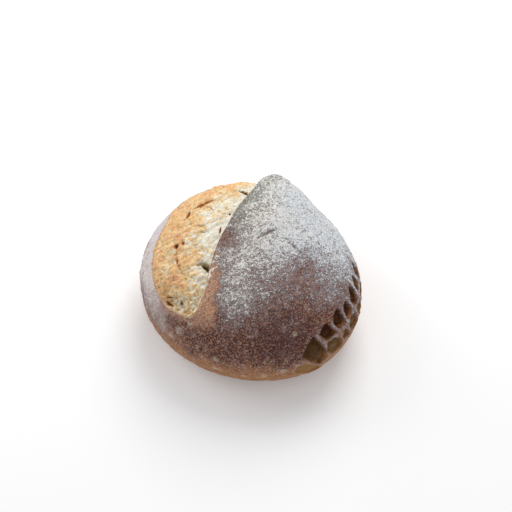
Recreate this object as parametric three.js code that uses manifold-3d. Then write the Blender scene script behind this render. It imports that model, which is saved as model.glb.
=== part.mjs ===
// Sourdough loaf: a round hearth loaf with one long slash. One side of the slash has
// lifted into an ear that overhangs a lens of open crumb, and a stalk of wheat is
// scored into the crust on the other side.
//
// The loaf is baked in one piece, so it is one closed solid. Units are millimetres,
// +Z is up, and the origin is on the flat foot, in the middle of the loaf's box.

import * as THREE from "three";
import { mergeVertices } from "three/addons/utils/BufferGeometryUtils.js";
import loadManifold from "manifold-3d";

const { clamp, degToRad, radToDeg, smoothstep } = THREE.MathUtils;

// Dough body, before its ear lifts.
const LOAF_RADIUS = 109.5;
const CROWN_HEIGHT = 101;
const WIDEST_HEIGHT = 42;
const BELLY_DROP = 56; // reach of the rounded underside below the widest level
const CROWN_POWER = 2.15; // superellipse powers: 2 is an ellipse, more is squarer
const BELLY_POWER = 2.6;
const FOOT_ROUNDING = 3; // height over which the underside turns into the flat foot

// The plan outline is a circle with a slight oval and a slight three-sided swelling.
const OVAL_DEPTH = 0.038;
const OVAL_AZIMUTH = 129;
const SWELL_DEPTH = 0.023;
const SWELL_AZIMUTH = 83;

// The slash lies along a meridian of a globe whose axis is level. The turn is the
// angle round that axis from straight up, and the reach is the angle along it.
const SLASH_YAW = 26; // from the +Y axis towards the +X axis
const EDGE_TURN = -11;
const EDGE_CURL = 0.0002; // extra turn for each squared degree of reach
const FRONT_REACH = -51;
const PEAK_REACH = 50;
const BACK_REACH = 76;

// The ear: how far its edge overhangs the crumb and rises over the dough body.
const EAR_OVERHANG = 9;
const EAR_RISE = 18.5;
const EAR_FRONT_FADE = 45;
const EAR_BACK_FADE = 20;
const FOLD_TURN = 3.5; // half the fold's width, as turn
const RISE_TURN = 48; // turn over which the raised flap runs back into the dough
const GROOVE_DEPTH = 2.5;

// Where each side of the ear stops, in half folds from the edge.
const ROOF_START = 0.1;
const OVERHANG_RUN = 5;
const GROOVE_RUN = 4;

// Surface grid: cells along each cube edge, and how tightly they crowd at the ear.
const GRID_CELLS = 20;
const GRID_CROWDING = 0.75;

// Wheat stalk: each cut runs from a tip to a root, given as azimuth from +X towards +Y
// and elevation, both in degrees, and opens to a width in millimetres.
const CUT_DEPTH = 4;
const UPPER_CUTS = [
  { tip: [-1, 29], root: [-9, 17], width: 6 },
  { tip: [-13, 31], root: [-18, 21], width: 6 },
  { tip: [-21, 33], root: [-27, 20], width: 8 },
  { tip: [-30, 33], root: [-34, 20], width: 8 },
  { tip: [-37, 34], root: [-41, 18], width: 11 },
  { tip: [-48, 33], root: [-49, 16], width: 13 },
  { tip: [-57, 30], root: [-59, -4], width: 21 },
];
const LOWER_CUTS = [
  { tip: [-27, 8], root: [-20, 19], width: 6 },
  { tip: [-36, 8], root: [-30, 19], width: 8 },
  { tip: [-43, 6], root: [-37, 16], width: 7 },
  { tip: [-53, 1], root: [-44, 14], width: 13 },
];

// Open pores in the crumb, at a turn and reach. Their half sizes are given across the
// slash, along it and into the crumb.
const PORES = [
  { turn: -18, reach: -21.5, size: [4.5, 3.5, 4.5] },
  { turn: -34, reach: -14, size: [4.5, 2, 3] },
];

const UP = new THREE.Vector3(0, 0, 1);
const ACROSS_SLASH = new THREE.Vector3(1, 0, 0).applyAxisAngle(UP, degToRad(-SLASH_YAW));
const ALONG_SLASH = new THREE.Vector3(0, 1, 0).applyAxisAngle(UP, degToRad(-SLASH_YAW));

function fade(value) {
  return smoothstep(value, 0, 1);
}

// Unit direction from an azimuth and an elevation.
function compassDirection([azimuth, elevation]) {
  const level = Math.cos(degToRad(elevation));
  return new THREE.Vector3(
    level * Math.cos(degToRad(azimuth)),
    level * Math.sin(degToRad(azimuth)),
    Math.sin(degToRad(elevation)),
  );
}

// Unit direction from a turn and a reach.
function slashDirection(turn, reach) {
  const level = Math.cos(degToRad(reach));
  return new THREE.Vector3()
    .addScaledVector(ACROSS_SLASH, level * Math.sin(degToRad(turn)))
    .addScaledVector(ALONG_SLASH, Math.sin(degToRad(reach)))
    .addScaledVector(UP, level * Math.cos(degToRad(turn)));
}

function planScale(azimuth) {
  const oval = OVAL_DEPTH * Math.cos(2 * (azimuth - degToRad(OVAL_AZIMUTH)));
  const swelling = SWELL_DEPTH * Math.cos(3 * (azimuth - degToRad(SWELL_AZIMUTH)));
  return 1 + oval + swelling;
}

// The underside flattens where the loaf rests, over a soft rounding.
function restOnFoot(height) {
  if (height <= -FOOT_ROUNDING) return 0;
  if (height >= FOOT_ROUNDING) return height;
  return (height + FOOT_ROUNDING) ** 2 / (4 * FOOT_ROUNDING);
}

// Point of the dough body in a direction from the loaf's middle.
function doughPoint(direction) {
  const azimuth = Math.atan2(direction.y, direction.x);
  const level = Math.hypot(direction.x, direction.y);
  const crown = direction.z >= 0;
  const power = crown ? CROWN_POWER : BELLY_POWER;
  const reach = (level ** power + Math.abs(direction.z) ** power) ** (-1 / power);
  const radius = LOAF_RADIUS * level * reach * planScale(azimuth);
  const span = crown ? CROWN_HEIGHT - WIDEST_HEIGHT : BELLY_DROP;
  return new THREE.Vector3(
    radius * Math.cos(azimuth),
    radius * Math.sin(azimuth),
    restOnFoot(WIDEST_HEIGHT + span * direction.z * reach),
  );
}

function edgeTurn(reach) {
  return EDGE_TURN + EDGE_CURL * reach ** 2;
}

// How high the ear stands at a reach, from 0 at both ends to 1 at its peak.
function earHeight(reach) {
  const climb = clamp((reach - FRONT_REACH) / (PEAK_REACH - FRONT_REACH), 0, 1);
  return climb * (1 - smoothstep(reach, PEAK_REACH, BACK_REACH));
}

// How open the slash is at a reach, from 0 at both ends to 1 between them.
function slashOpening(reach) {
  const front = fade((reach - FRONT_REACH) / EAR_FRONT_FADE);
  return front * fade((BACK_REACH - reach) / EAR_BACK_FADE);
}

// Sideways pull of the crust: 1 over the ear's edge, -1 at the back of the groove.
function overhang(folds) {
  if (folds > 1) return 1 - fade((folds - 1) / OVERHANG_RUN);
  if (folds < -1) return fade((-folds - 1) / GROOVE_RUN) - 1;
  return 2 * smoothstep(folds, ROOF_START, 1) - 1;
}

function flapRise(folds) {
  if (folds > 1) return 1 - fade(((folds - 1) * FOLD_TURN) / RISE_TURN);
  return fade((folds + 1) / 2);
}

function grooveSink(folds) {
  if (folds > 1) return 0;
  if (folds < -1) return 1 - fade((-folds - 1) / OVERHANG_RUN);
  return 1 - fade((folds + 1) / 2);
}

// Point of the baked crust in a direction from the loaf's middle.
function crustPoint(direction) {
  const turn = radToDeg(Math.atan2(direction.dot(ACROSS_SLASH), direction.z));
  const reach = radToDeg(Math.asin(clamp(direction.dot(ALONG_SLASH), -1, 1)));
  const folds = (turn - edgeTurn(reach)) / FOLD_TURN;
  const opening = slashOpening(reach);
  const point = doughPoint(direction);
  point.addScaledVector(ACROSS_SLASH, -EAR_OVERHANG * opening * overhang(folds));
  point.z += EAR_RISE * earHeight(reach) * flapRise(folds);
  point.z -= GROOVE_DEPTH * opening * grooveSink(folds);
  return point;
}

// Outward normal of the crust, from two small steps to either side of a direction.
function crustNormal(direction) {
  const step = 0.02;
  const side = new THREE.Vector3().crossVectors(UP, direction).normalize().multiplyScalar(step);
  const rise = new THREE.Vector3().crossVectors(direction, side);
  const along = crustPoint(direction.clone().add(side).normalize())
    .sub(crustPoint(direction.clone().sub(side).normalize()));
  const climb = crustPoint(direction.clone().add(rise).normalize())
    .sub(crustPoint(direction.clone().sub(rise).normalize()));
  return along.cross(climb).normalize();
}

function withoutSeams(geometry) {
  geometry.deleteAttribute("normal");
  geometry.deleteAttribute("uv");
  return mergeVertices(geometry);
}

// Moves every vertex of a geometry to where a function sends it.
function reshape(geometry, move) {
  const position = geometry.attributes.position;
  const vertex = new THREE.Vector3();
  for (let i = 0; i < position.count; i += 1) {
    const moved = move(vertex.fromBufferAttribute(position, i));
    position.setXYZ(i, moved.x, moved.y, moved.z);
  }
  return geometry;
}

// A cube's grid blown up to the crust, with its columns crowded at the slash.
function loafShell() {
  const cube = new THREE.BoxGeometry(2, 2, 2, GRID_CELLS, GRID_CELLS, GRID_CELLS);
  return reshape(withoutSeams(cube), (vertex) => {
    const [x, y, z] = vertex.toArray().map((value) => Math.tan((value * Math.PI) / 4));
    const reach = radToDeg(Math.asin(y / Math.hypot(x, y, z)));
    const column = Math.atan2(x, z);
    const crowded = radToDeg(column - GRID_CROWDING * Math.sin(column));
    return crustPoint(slashDirection(edgeTurn(reach) + crowded, reach));
  });
}

// A spindle with two sharp ends, laid along a cut and half sunk in the crust.
function cutSpindle({ tip, root, width }) {
  const start = crustPoint(compassDirection(root));
  const end = crustPoint(compassDirection(tip));
  const middle = compassDirection(tip).add(compassDirection(root)).normalize();
  const outward = crustNormal(middle);
  const length = end.distanceTo(start);
  const along = end.sub(start).normalize();
  const across = new THREE.Vector3().crossVectors(along, outward).normalize();
  const facing = new THREE.Vector3().crossVectors(across, along);
  const spindle = reshape(withoutSeams(new THREE.SphereGeometry(1, 10, 8)), (vertex) => {
    const girth = Math.sqrt(Math.max(0, 1 - vertex.y ** 2));
    return new THREE.Vector3(
      (vertex.x * girth * width) / 2,
      (vertex.y * length) / 2,
      vertex.z * girth * CUT_DEPTH,
    );
  });
  const frame = new THREE.Matrix4().makeBasis(across, along, facing);
  return spindle.applyMatrix4(frame.setPosition(crustPoint(middle)));
}

// A rounded hollow in the crumb.
function pore({ turn, reach, size }) {
  const direction = slashDirection(turn, reach);
  const outward = crustNormal(direction);
  const across = new THREE.Vector3().crossVectors(ALONG_SLASH, outward).normalize();
  const along = new THREE.Vector3().crossVectors(outward, across);
  const frame = new THREE.Matrix4().makeBasis(across, along, outward);
  return withoutSeams(new THREE.SphereGeometry(1, 8, 6))
    .scale(...size)
    .applyMatrix4(frame.setPosition(crustPoint(direction)));
}

function asSolid(manifold, geometry) {
  return new manifold.Manifold(new manifold.Mesh({
    numProp: 3,
    vertProperties: Float32Array.from(geometry.attributes.position.array),
    triVerts: Uint32Array.from(geometry.index.array),
  }));
}

function asGeometry(solid) {
  const { vertProperties, triVerts } = solid.getMesh();
  const geometry = new THREE.BufferGeometry();
  geometry.setAttribute("position", new THREE.BufferAttribute(vertProperties, 3));
  geometry.setIndex(new THREE.BufferAttribute(triVerts, 1));
  return geometry;
}

// Puts the middle of a geometry's box over the origin, without lifting it.
function centreOverOrigin(geometry) {
  geometry.computeBoundingBox();
  const middle = geometry.boundingBox.getCenter(new THREE.Vector3());
  return geometry.translate(-middle.x, -middle.y, 0);
}

const manifold = await loadManifold();
manifold.setup();

const hollows = [
  ...UPPER_CUTS.map(cutSpindle),
  ...LOWER_CUTS.map(cutSpindle),
  ...PORES.map(pore),
];
const scored = hollows.reduce(
  (loaf, hollow) => loaf.subtract(asSolid(manifold, hollow)),
  asSolid(manifold, loafShell()),
);

const crust = new THREE.MeshStandardMaterial({
  color: 0x8c6f58,
  roughness: 0.9,
  metalness: 0,
});
const loaf = new THREE.Mesh(centreOverOrigin(asGeometry(scored)), crust);
loaf.name = "sourdough_loaf";

const part = new THREE.Group();
part.add(loaf);

export default part;
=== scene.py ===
"""Sourdough loaf: one long slash with a raised ear, open crumb and a scored wheat stalk.

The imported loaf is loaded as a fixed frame. Its plain solid is replaced by one finely
shaped piece: the dough body, the ear lifted over it, the torn crumb, the wheat cuts and
the blistered, floured crust. Sizes are millimetres and degrees until a mesh is written,
which is in metres. Directions are unit vectors from the loaf's middle.
"""

from __future__ import annotations

import logging
import math
from dataclasses import dataclass, field
from enum import Enum
from itertools import product
from typing import Any

import bpy
import numpy as np
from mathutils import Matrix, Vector


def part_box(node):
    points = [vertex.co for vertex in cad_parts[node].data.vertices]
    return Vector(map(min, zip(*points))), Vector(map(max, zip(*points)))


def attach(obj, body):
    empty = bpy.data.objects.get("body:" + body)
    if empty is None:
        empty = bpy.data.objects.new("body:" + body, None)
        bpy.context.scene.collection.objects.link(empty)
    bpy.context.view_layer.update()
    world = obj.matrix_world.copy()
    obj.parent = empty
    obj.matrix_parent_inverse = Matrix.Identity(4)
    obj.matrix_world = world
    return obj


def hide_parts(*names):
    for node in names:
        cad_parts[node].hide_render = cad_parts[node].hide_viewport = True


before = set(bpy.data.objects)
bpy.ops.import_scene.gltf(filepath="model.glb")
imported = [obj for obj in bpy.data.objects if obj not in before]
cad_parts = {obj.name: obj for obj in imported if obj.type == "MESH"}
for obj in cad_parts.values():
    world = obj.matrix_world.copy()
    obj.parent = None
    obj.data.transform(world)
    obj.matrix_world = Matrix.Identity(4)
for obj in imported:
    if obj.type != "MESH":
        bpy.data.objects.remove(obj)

LOG = logging.getLogger("sourdough")

CAD_NODE = "sourdough_loaf"
MM = 0.001  # one millimetre in metres
CROWN_RADIUS = 105.0  # rounding of the crown over the slash, in millimetres
ARC = math.radians(1.0) * CROWN_RADIUS  # length of one degree there, in millimetres
STRAND_AZIMUTH = 32.0  # way that the crumb's strands run, in degrees
CLOTH_AZIMUTH = 34.0  # way that the proofing cloth's streaks run, in degrees
UP = np.array([0.0, 0.0, 1.0])

Array = np.ndarray


def fade(value: Array) -> Array:
    """Ease from 0 to 1 as a value goes from 0 to 1, flat outside that range."""
    held = np.clip(value, 0.0, 1.0)
    return held * held * (3.0 - 2.0 * held)


def unit(vectors: Array) -> Array:
    """Scale vectors along the last axis to length 1."""
    return vectors / np.linalg.norm(vectors, axis=-1, keepdims=True)


def compass(azimuth: float, elevation: float) -> Array:
    """Unit direction from an azimuth and an elevation.

    Args:
        azimuth: Angle from +X towards +Y, in degrees.
        elevation: Angle above the floor, in degrees.

    Returns:
        The direction.
    """
    bearing, climb = math.radians(azimuth), math.radians(elevation)
    level = math.cos(climb)
    return np.array([level * math.cos(bearing), level * math.sin(bearing), math.sin(climb)])


def bell(away: Array, width: Array | float, power: int = 2) -> Array:
    """Fall from 1 at no distance to 0 well beyond a width, squarer at a higher power."""
    return np.exp(-((away / width) ** power))


def combed(points: Array, azimuth: float, stretch: float) -> Array:
    """Places along, across and above a level direction, for noise that streaks along it.

    Args:
        points: Places in millimetres, one row each.
        azimuth: Azimuth of the streaks, in degrees.
        stretch: How many times as long as wide they are.

    Returns:
        Places with the streaks along their first axis.
    """
    streak, side = compass(azimuth, 0.0), compass(azimuth + 90.0, 0.0)
    return np.stack([points @ streak / stretch, points @ side, points @ UP], axis=1)


class Grain:
    """Smooth seeded noise in space, from about -1 to 1."""

    TABLE = 256
    GAIN = 1.8  # brings the noise of one layer to about -1 to 1
    SHIFT = 31.7  # distance between the layers' lattices, in cells

    def __init__(self, seed: int) -> None:
        """Draw the slopes of the noise.

        Args:
            seed: Number that fixes the draw.
        """
        draw = np.random.default_rng(seed)
        self.order = draw.permutation(self.TABLE)
        self.slopes = unit(draw.normal(size=(self.TABLE, 3)))

    def _slopes_at(self, cells: Array) -> Array:
        """Slope of each lattice cell, from three rounds through the shuffled table.

        Args:
            cells: Whole numbers of the cells, one row each.

        Returns:
            One slope for each cell.
        """
        index = self.order[cells[:, 0] % self.TABLE]
        index = self.order[(index + cells[:, 1]) % self.TABLE]
        return self.slopes[self.order[(index + cells[:, 2]) % self.TABLE]]

    def _layer(self, points: Array) -> Array:
        """One octave of noise whose cells are one unit wide.

        Args:
            points: Places in cells, one row each.

        Returns:
            One value for each point.
        """
        cells = np.floor(points).astype(int)
        local = points - cells
        blend = fade(local)
        total = np.zeros(len(points))
        for corner in product((0, 1), repeat=3):
            weight = np.prod(np.where(corner, blend, 1.0 - blend), axis=1)
            slope = self._slopes_at(cells + corner)
            total += weight * np.einsum("ij,ij->i", slope, local - corner)
        return total * self.GAIN

    def __call__(self, points: Array, size: float, octaves: int = 1) -> Array:
        """Noise at points.

        Args:
            points: Places in millimetres, one row each.
            size: Width of the largest lumps, in millimetres.
            octaves: Number of layers, each half as wide and half as strong.

        Returns:
            One value for each point.
        """
        total = np.zeros(len(points))
        for octave in range(octaves):
            shifted = points / size * 2.0**octave + self.SHIFT * octave
            total += self._layer(shifted) * 0.5**octave
        return total


@dataclass(frozen=True)
class DoughBody:
    """The round dough, domed above and flat where it rests, before its ear lifts.

    Attributes:
        radius: Mean radius from above, in millimetres.
        crown: Height of the crown.
        widest: Height of the widest outline.
        belly: Depth of the belly below that, before the foot flattens it.
        crown_power: Squareness of the sides above the widest outline.
        belly_power: Squareness of the sides below it.
        foot_rounding: Height over which the foot turns flat.
        oval_depth: Depth of the outline's oval, as a share of the radius.
        oval_azimuth: Azimuth of the oval's long axis, in degrees.
        swell_depth: Depth of the outline's three swellings, as a share of the radius.
        swell_azimuth: Azimuth of one of them, in degrees.
    """

    radius: float = 109.5
    crown: float = 101.0
    widest: float = 42.0
    belly: float = 56.0
    crown_power: float = 2.15
    belly_power: float = 2.6
    foot_rounding: float = 3.0
    oval_depth: float = 0.038
    oval_azimuth: float = 129.0
    swell_depth: float = 0.023
    swell_azimuth: float = 83.0

    def plan_scale(self, azimuth: Array) -> Array:
        """Outline of the loaf from above, as a factor on its radius.

        Args:
            azimuth: Azimuths from +X towards +Y, in radians.

        Returns:
            One factor for each azimuth.
        """
        oval = self.oval_depth * np.cos(2.0 * (azimuth - math.radians(self.oval_azimuth)))
        swell = self.swell_depth * np.cos(3.0 * (azimuth - math.radians(self.swell_azimuth)))
        return 1.0 + oval + swell

    def rest_on_foot(self, height: Array) -> Array:
        """Flatten heights at the foot over a soft rounding.

        Args:
            height: Heights in millimetres, less than 0 under the floor.

        Returns:
            Heights of 0 or more.
        """
        soft = self.foot_rounding
        eased = np.clip(height + soft, 0.0, 2.0 * soft) ** 2 / (4.0 * soft)
        return np.where(height < soft, eased, height)

    def points(self, directions: Array) -> Array:
        """Points of the dough in the given directions.

        Args:
            directions: Unit directions, one row each.

        Returns:
            Places in millimetres, one row each.
        """
        azimuth = np.arctan2(directions[:, 1], directions[:, 0])
        level = np.hypot(directions[:, 0], directions[:, 1])
        rise = directions[:, 2]
        power = np.where(rise >= 0.0, self.crown_power, self.belly_power)
        stretch = (level**power + np.abs(rise) ** power) ** (-1.0 / power)
        radius = self.radius * level * stretch * self.plan_scale(azimuth)
        span = np.where(rise >= 0.0, self.crown - self.widest, self.belly)
        height = self.rest_on_foot(self.widest + span * rise * stretch)
        return np.stack([radius * np.cos(azimuth), radius * np.sin(azimuth), height], axis=1)


@dataclass(frozen=True)
class Slash:
    """The long slash along a meridian of a globe with a level axis, and its ear.

    The turn is the angle round that axis from straight up, and the reach is the angle
    along it, less than 0 in front. Folds are half widths of the folded crust, counted
    from the groove's back.

    Attributes:
        yaw: Azimuth of the slash from +Y towards +X, in degrees.
        turn: Turn of the slash's line at no reach.
        curl: Growth of that turn with the square of the reach.
        front: Reach of the slash's front end.
        peak: Reach of the ear's highest place.
        back: Reach of the slash's back end.
        overhang: How far the ear's edge is pulled over the crumb, in millimetres.
        rise: How far the ear is lifted at its highest, in millimetres.
        front_fade: Reach over which the slash opens from its front end.
        back_fade: Reach over which it closes towards its back end.
        fold: Half width of the folded crust, in degrees of turn.
        rise_turn: Turn over which the lifted flap comes down.
        groove: Depth of the groove under the ear, in millimetres.
        roof_start: Place across the fold where the ear's roof starts.
        overhang_run: Folds over which the pull on the flap dies out.
        groove_run: Folds over which the pull on the groove's floor dies out.
    """

    yaw: float = 26.0
    turn: float = -11.0
    curl: float = 0.0002
    front: float = -51.0
    peak: float = 50.0
    back: float = 76.0
    overhang: float = 9.0
    rise: float = 18.5
    front_fade: float = 45.0
    back_fade: float = 20.0
    fold: float = 3.5
    rise_turn: float = 48.0
    groove: float = 2.5
    roof_start: float = 0.1
    overhang_run: float = 5.0
    groove_run: float = 4.0

    @property
    def across(self) -> Array:
        """Level unit vector across the slash, from the crumb towards the flap."""
        return compass(-self.yaw, 0.0)

    @property
    def along(self) -> Array:
        """Level unit vector along the slash, towards the back."""
        return compass(90.0 - self.yaw, 0.0)

    def turn_and_reach(self, directions: Array) -> tuple[Array, Array]:
        """Turn and reach of unit directions, in degrees.

        Args:
            directions: Unit directions, one row each.

        Returns:
            The turns and the reaches.
        """
        turn = np.degrees(np.arctan2(directions @ self.across, directions[:, 2]))
        reach = np.degrees(np.arcsin(np.clip(directions @ self.along, -1.0, 1.0)))
        return turn, reach

    def directions(self, turn: Array, reach: Array) -> Array:
        """Unit directions from turn and reach, in degrees.

        Args:
            turn: Turn in degrees.
            reach: Reach in degrees.

        Returns:
            Unit directions, one row each.
        """
        sideways, onward = np.radians(turn), np.radians(reach)
        level = np.cos(onward)
        parts = ((level * np.sin(sideways), self.across), (np.sin(onward), self.along),
                 (level * np.cos(sideways), UP))
        return sum(np.multiply.outer(amount, vector) for amount, vector in parts)

    def edge(self, reach: Array) -> Array:
        """Turn of the slash's line, at the back of the groove, at a reach."""
        return self.turn + self.curl * reach**2

    def folds(self, turn: Array, reach: Array) -> Array:
        """Place across the fold: 0 at the back of the groove, 1 at the ear's edge."""
        return (turn - self.edge(reach)) / self.fold

    def ear_height(self, reach: Array) -> Array:
        """Height of the ear along the slash, from 0 at both ends to 1 at its peak."""
        climb = np.clip((reach - self.front) / (self.peak - self.front), 0.0, 1.0)
        return climb * (1.0 - fade((reach - self.peak) / (self.back - self.peak)))

    def opening(self, reach: Array) -> Array:
        """How open the slash is along its length, from 0 at both ends to 1."""
        front = fade((reach - self.front) / self.front_fade)
        return front * fade((self.back - reach) / self.back_fade)

    def _pull(self, folds: Array) -> Array:
        """Sideways pull of the crust: 1 over the ear's edge, -1 in the groove.

        Args:
            folds: Places across the fold.

        Returns:
            One pull for each place.
        """
        flap = 1.0 - fade((folds - 1.0) / self.overhang_run)
        floor = fade((-folds - 1.0) / self.groove_run) - 1.0
        roof = 2.0 * fade((folds - self.roof_start) / (1.0 - self.roof_start)) - 1.0
        return np.select([folds > 1.0, folds < -1.0], [flap, floor], roof)

    def lift(self, points: Array, turn: Array, reach: Array) -> Array:
        """Raise the ear and sink the groove in a loaf's points.

        Args:
            points: Places on the plain dough in millimetres, one row each.
            turn: Turn in degrees.
            reach: Reach in degrees.

        Returns:
            The moved places.
        """
        folds = self.folds(turn, reach)
        opening = self.opening(reach)
        run_back = 1.0 - fade((folds - 1.0) * self.fold / self.rise_turn)
        climb = np.where(folds > 1.0, run_back, fade((folds + 1.0) / 2.0))
        near = np.where(folds < -1.0, 1.0 - fade((-folds - 1.0) / self.overhang_run), 1.0)
        sink = near * (1.0 - fade((folds + 1.0) / 2.0))
        moved = points - np.outer(self.overhang * opening * self._pull(folds), self.across)
        moved[:, 2] += self.rise * self.ear_height(reach) * climb - self.groove * opening * sink
        return moved


@dataclass
class Skin:
    """The loaf's skin, vertex by vertex, as the relief is built up on it.

    Attributes:
        points: Places on the smooth loaf in millimetres, one row each.
        normals: Unit directions straight out of it.
        turn: Turn of each vertex in degrees.
        reach: Reach of each vertex in degrees.
        folds: Place of each vertex across the fold.
        relief: Height over the smooth loaf in millimetres.
        marks: Named values that steer the finish.
    """

    points: Array
    normals: Array
    turn: Array
    reach: Array
    folds: Array
    relief: Array = field(init=False)
    marks: dict[str, Array] = field(init=False)

    def __post_init__(self) -> None:
        """Start with no relief and no marks."""
        self.relief = np.zeros(len(self.points))
        self.marks = {}


@dataclass(frozen=True)
class BakedShape:
    """The whole smooth loaf: dough body and slash together."""

    dough: DoughBody = DoughBody()
    slash: Slash = Slash()

    def points(self, directions: Array) -> Array:
        """Points of the smooth loaf in the given directions."""
        turn, reach = self.slash.turn_and_reach(directions)
        return self.slash.lift(self.dough.points(directions), turn, reach)

    def at(self, turn: Array, reach: Array) -> Array:
        """Points of the smooth loaf at the given turns and reaches."""
        return self.points(self.slash.directions(np.asarray(turn), np.asarray(reach)))


@dataclass(frozen=True)
class Tear:
    """A crack, crease, pore or ridge that follows a short line on the loaf.

    Attributes:
        line: Turn and reach of its points, one pair each.
        width: Half width in millimetres.
        depth: Depth in millimetres, or less than 0 for a ridge.
        dark: How much darker its bottom is made, from 0 to 1: painted shade in the crumb's
            tears, and less flour on the crust's wrinkles.
        rust: How red-brown it is, from 0 to 1.
    """

    line: tuple[tuple[float, float], ...]
    width: float
    depth: float
    dark: float = 0.0
    rust: float = 0.0

    def nearness(self, shape: BakedShape, points: Array) -> Array:
        """1 on the line, falling to 0 beside it and at its two ends.

        Args:
            shape: The smooth loaf.
            points: Places in millimetres, one row each.

        Returns:
            One value for each point.
        """
        turns, reaches = zip(*self.line)
        stops = shape.at(turns, reaches)
        if len(stops) == 1:
            away = np.linalg.norm(points - stops[0], axis=1)
            return bell(away, self.width, 4)
        nearness = np.zeros(len(points))
        spans = len(stops) - 1
        for span, (start, end) in enumerate(zip(stops[:-1], stops[1:])):
            step = end - start
            share = np.clip((points - start) @ step / (step @ step), 0.0, 1.0)
            away = np.linalg.norm(points - start - np.outer(share, step), axis=1)
            taper = np.sin(np.pi * np.clip((span + share) / spans, 0.03, 0.97)) ** 0.5
            nearness = np.maximum(nearness, bell(away, self.width * taper))
        return nearness


def carve(tears: tuple[Tear, ...], skin: Skin, shape: BakedShape,
          cover: Array | float = 1.0) -> Array:
    """Cut tears into the skin, and mark how red-brown they are.

    Args:
        tears: The tears.
        skin: The skin, whose relief and marks are added to.
        shape: The smooth loaf.
        cover: How far each vertex may be torn, from 0 to 1.

    Returns:
        How much darker each vertex is made for them, from 0 to 1; the crumb shows this as
        painted shade, the crust as less flour.
    """
    dark = np.zeros(len(skin.points))
    rust = skin.marks.get("rust", dark)
    for tear in tears:
        near = tear.nearness(shape, skin.points) * cover
        skin.relief -= near * tear.depth
        dark = np.maximum(dark, near * tear.dark)
        rust = np.maximum(rust, near * tear.rust)
    skin.marks["rust"] = rust
    return dark


@dataclass(frozen=True)
class Patch:
    """A soft round patch that is more or less toasted or floured than round it.

    Attributes:
        place: Its middle, in millimetres.
        size: Its radius in millimetres.
        change: How much it adds in its middle.
    """

    place: tuple[float, float, float]
    size: float
    change: float

    def over(self, points: Array) -> Array:
        """How much it adds at points."""
        return self.change * bell(np.linalg.norm(points - self.place, axis=1), self.size)


@dataclass(frozen=True)
class Speckles:
    """Small round pores or blisters at random places.

    Attributes:
        count: How many there are.
        seed: Number that fixes their places and sizes.
        widths: Least and greatest radius in millimetres.
        heights: Least and greatest height or depth in millimetres.
        side: 1 for blisters that stand out, or -1 for pores.
    """

    count: int
    seed: int
    widths: tuple[float, float]
    heights: tuple[float, float]
    side: float

    def scatter(self, skin: Skin, places: Array, cover: Array) -> Array:
        """Raise or sink them on the skin.

        Args:
            skin: The skin, whose relief and marks are added to.
            places: Whether a speckle may be centred on each vertex.
            cover: How far each vertex takes part, from 0 to 1.

        Returns:
            Height or depth of the greatest speckle at each vertex, in millimetres.
        """
        draw = np.random.default_rng(self.seed)
        greatest = np.zeros(len(skin.points))
        chosen = draw.choice(np.flatnonzero(places), self.count, replace=False)
        for centre in skin.points[chosen]:
            width, height = draw.uniform(*self.widths), draw.uniform(*self.heights)
            away = np.linalg.norm(skin.points - centre, axis=1)
            bump = height * bell(away, width, 3) * cover
            skin.relief += self.side * bump
            greatest = np.maximum(greatest, bump)
        return greatest


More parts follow.
